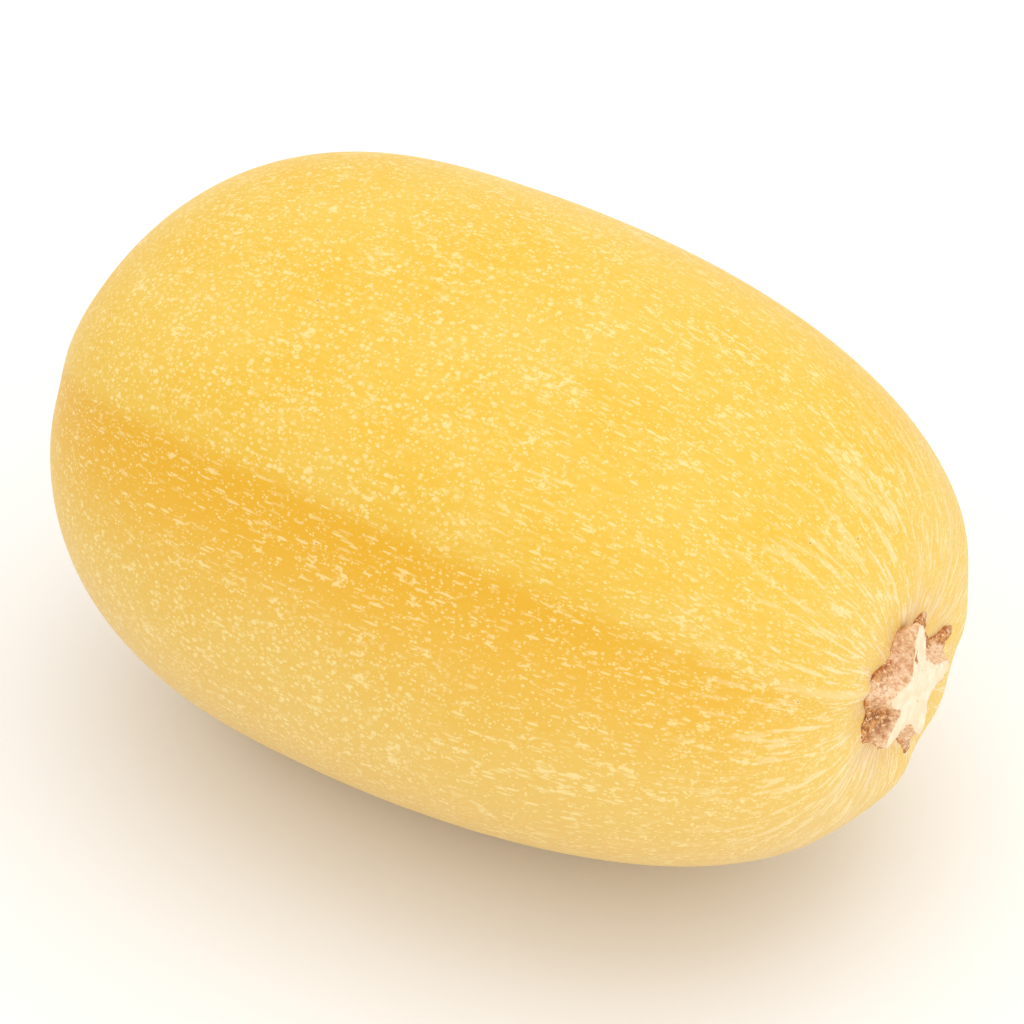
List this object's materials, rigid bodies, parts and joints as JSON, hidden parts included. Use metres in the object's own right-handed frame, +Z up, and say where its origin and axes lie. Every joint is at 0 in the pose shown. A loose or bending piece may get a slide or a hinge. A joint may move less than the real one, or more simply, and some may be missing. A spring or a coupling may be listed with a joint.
{
  "type": "spaghetti squash",
  "caption": "Whole oblong winter squash lying on its side, smooth yellow rind with low ribs, with the cut corky stub of its stem.",
  "frame": {"origin": "on the surface that the squash lies on, below the middle of its box", "axes": "+X along the fruit from the blossom end to the stem, +Z up"},
  "size_m": [0.1978, 0.1324, 0.1259],
  "materials": {
    "rind": "waxy satin rind, golden yellow with fine cream freckles and streaks",
    "stem_cork": "dry corky stem, brown sides and a pale cream cut face"
  },
  "bodies": {
    "root": {"fruit": "rind", "stem": "stem_cork"}
  },
  "joints": []
}
